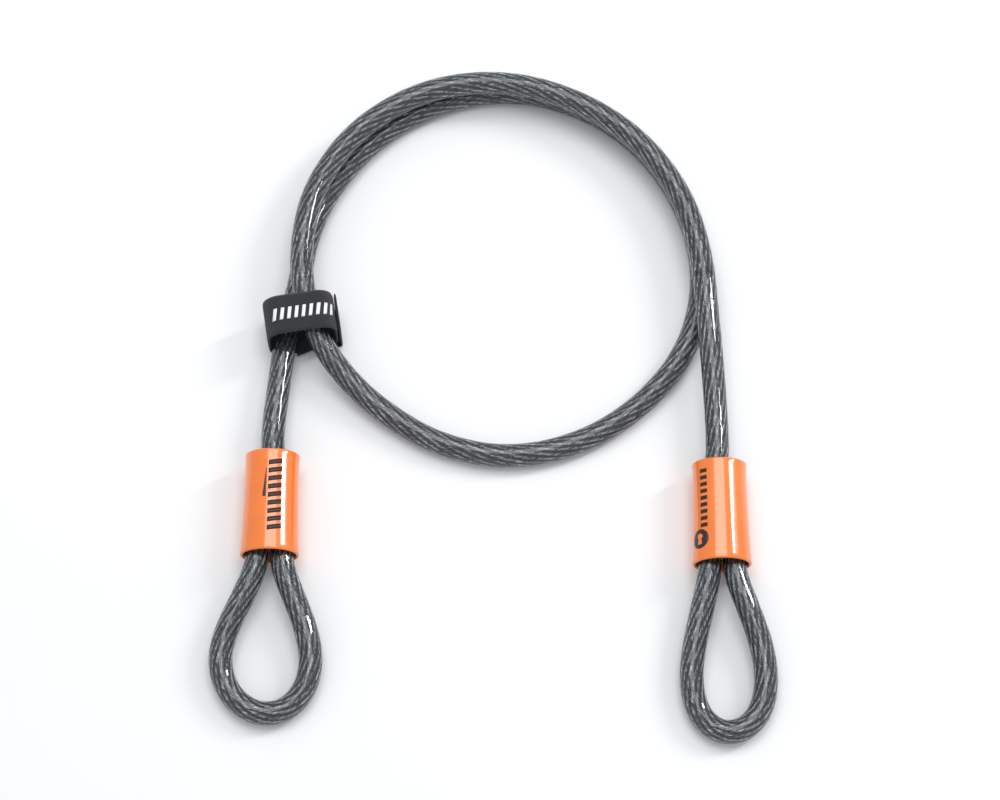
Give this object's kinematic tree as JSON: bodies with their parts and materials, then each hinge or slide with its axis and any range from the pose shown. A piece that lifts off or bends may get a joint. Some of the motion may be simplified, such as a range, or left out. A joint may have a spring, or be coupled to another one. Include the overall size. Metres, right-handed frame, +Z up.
{
  "type": "double-loop security cable",
  "caption": "Coiled vinyl-coated steel security cable with a crimped, sleeved loop at each end and a hook-and-loop tie round its coil.",
  "frame": {"origin": "on the surface the cable lies on, under the middle of its box", "axes": "+Z up, +Y from the end loops towards the coil, +X to the right seen from above with the loops nearest"},
  "size_m": [0.2346, 0.3048, 0.0245],
  "materials": {
    "clear_vinyl": "clear, smoke-tinted, glossy",
    "steel_rope": "galvanised wire, laid in strands",
    "crimped_aluminium": "as pressed",
    "orange_vinyl": "glossy",
    "loop_tape": "brushed loop pile on woven tape",
    "hook_tape": "moulded hooks on woven tape"
  },
  "bodies": {
    "cable": {"coil_jacket": "clear_vinyl", "coil_rope": "steel_rope", "left_tail_jacket": "clear_vinyl", "left_tail_rope": "steel_rope", "right_tail_jacket": "clear_vinyl", "right_tail_rope": "steel_rope"},
    "left_end": {"left_ferrule": "crimped_aluminium", "left_sleeve": "orange_vinyl", "left_loop_jacket": "clear_vinyl", "left_loop_rope": "steel_rope"},
    "right_end": {"right_ferrule": "crimped_aluminium", "right_sleeve": "orange_vinyl", "right_loop_jacket": "clear_vinyl", "right_loop_rope": "steel_rope"},
    "strap": {"strap_band": "loop_tape"},
    "flap": {"strap_flap": "loop_tape", "flap_hooks": "hook_tape"}
  },
  "joints": [
    {"name": "left_tail_bend", "type": "hinge", "parent": "cable", "child": "left_end", "pos_m": [-0.0922, -0.004, 0.009], "axis": [0, 0, 1], "range_deg": [-20, 20], "stiffness_Nm_per_rad": 0.4, "deforming": ["left_tail_jacket", "left_tail_rope"]},
    {"name": "right_tail_bend", "type": "hinge", "parent": "cable", "child": "right_end", "pos_m": [0.0942, -0.006, 0.0115], "axis": [0, 0, 1], "range_deg": [-20, 20], "stiffness_Nm_per_rad": 0.4, "deforming": ["right_tail_jacket", "right_tail_rope"]},
    {"name": "strap_slide", "type": "hinge", "parent": "cable", "child": "strap", "pos_m": [0.0057, 0.0573, 0.012], "axis": [0, 0, -1], "range_deg": [0, 8]},
    {"name": "flap_peel", "type": "hinge", "parent": "strap", "child": "flap", "pos_m": [-0.06685, 0.03434, 0.0005], "axis": [-0.1564, 0.9877, 0], "range_deg": [0, 80]}
  ]
}
